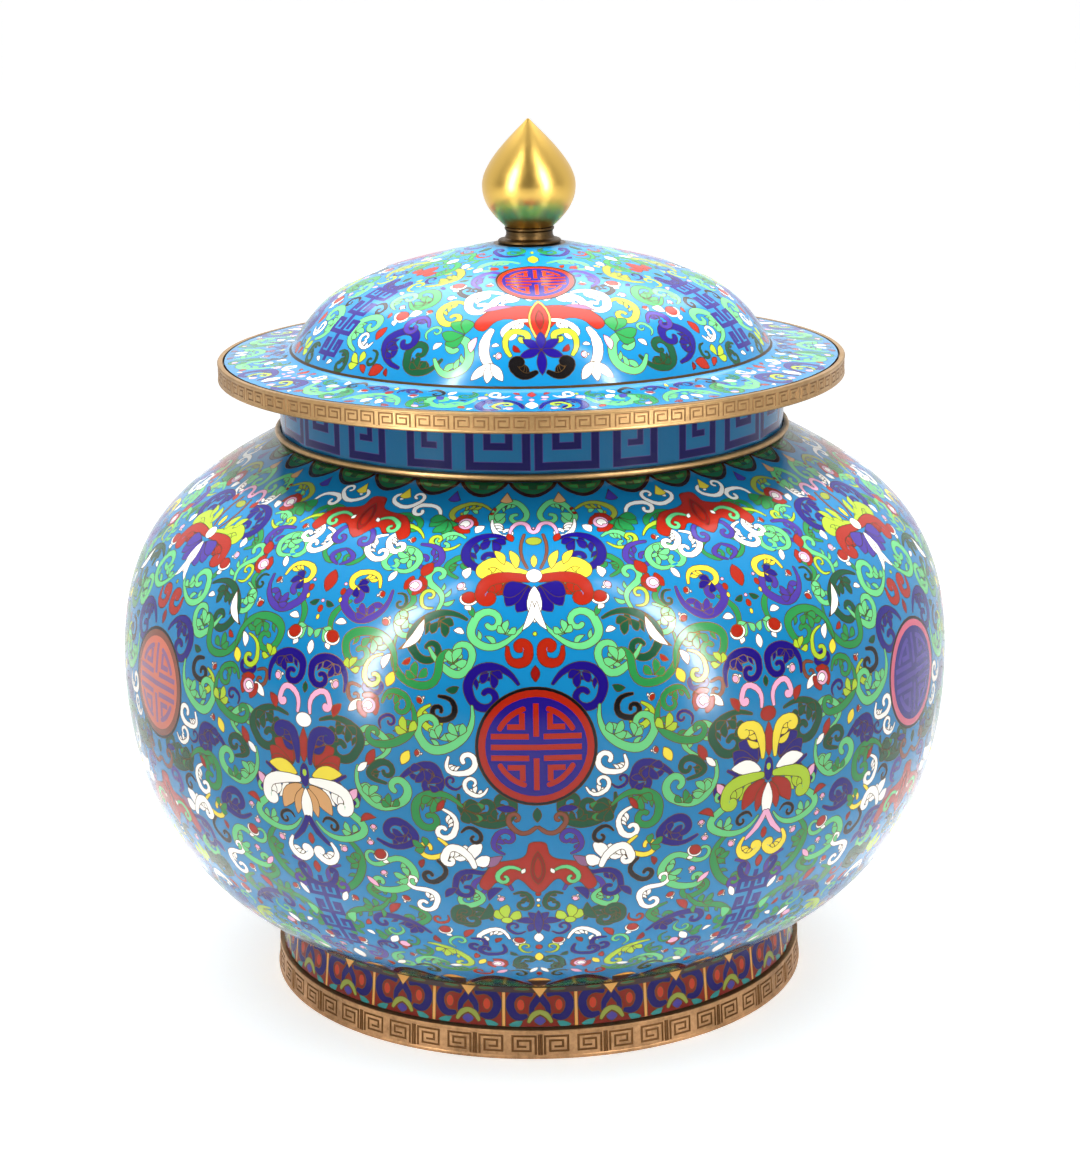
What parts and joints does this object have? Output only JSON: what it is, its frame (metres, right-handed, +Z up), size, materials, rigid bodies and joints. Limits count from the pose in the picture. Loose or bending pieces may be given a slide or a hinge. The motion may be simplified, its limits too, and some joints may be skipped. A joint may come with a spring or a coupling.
{
  "type": "cloisonne lidded jar",
  "caption": "Squat round lidded jar in turquoise cloisonne enamel with scrolls and flowers, straight neck, brass foot ring and rim, domed lid with gilt bud finial.",
  "frame": {"origin": "on the table, under the middle of the foot ring", "axes": "+Z up along the turning axis, -Y towards the viewer of the picture, the middle roundel column on -Y"},
  "size_m": [0.2996, 0.2996, 0.3126],
  "materials": {
    "enamel": "polished glass enamel in many colours between thin gilt wires, on copper",
    "foot_brass": "aged dark brass with an engraved key fret",
    "rim_brass": "worn satin brass with a fine engraved key fret",
    "gilt": "polished gilt brass"
  },
  "bodies": {
    "root": {"foot_ring": "foot_brass", "jar_body": "enamel", "neck_ring": "gilt", "lid_rim_band": "rim_brass", "lid": "enamel", "finial_collar": "foot_brass", "finial_bud": "gilt"}
  },
  "joints": []
}
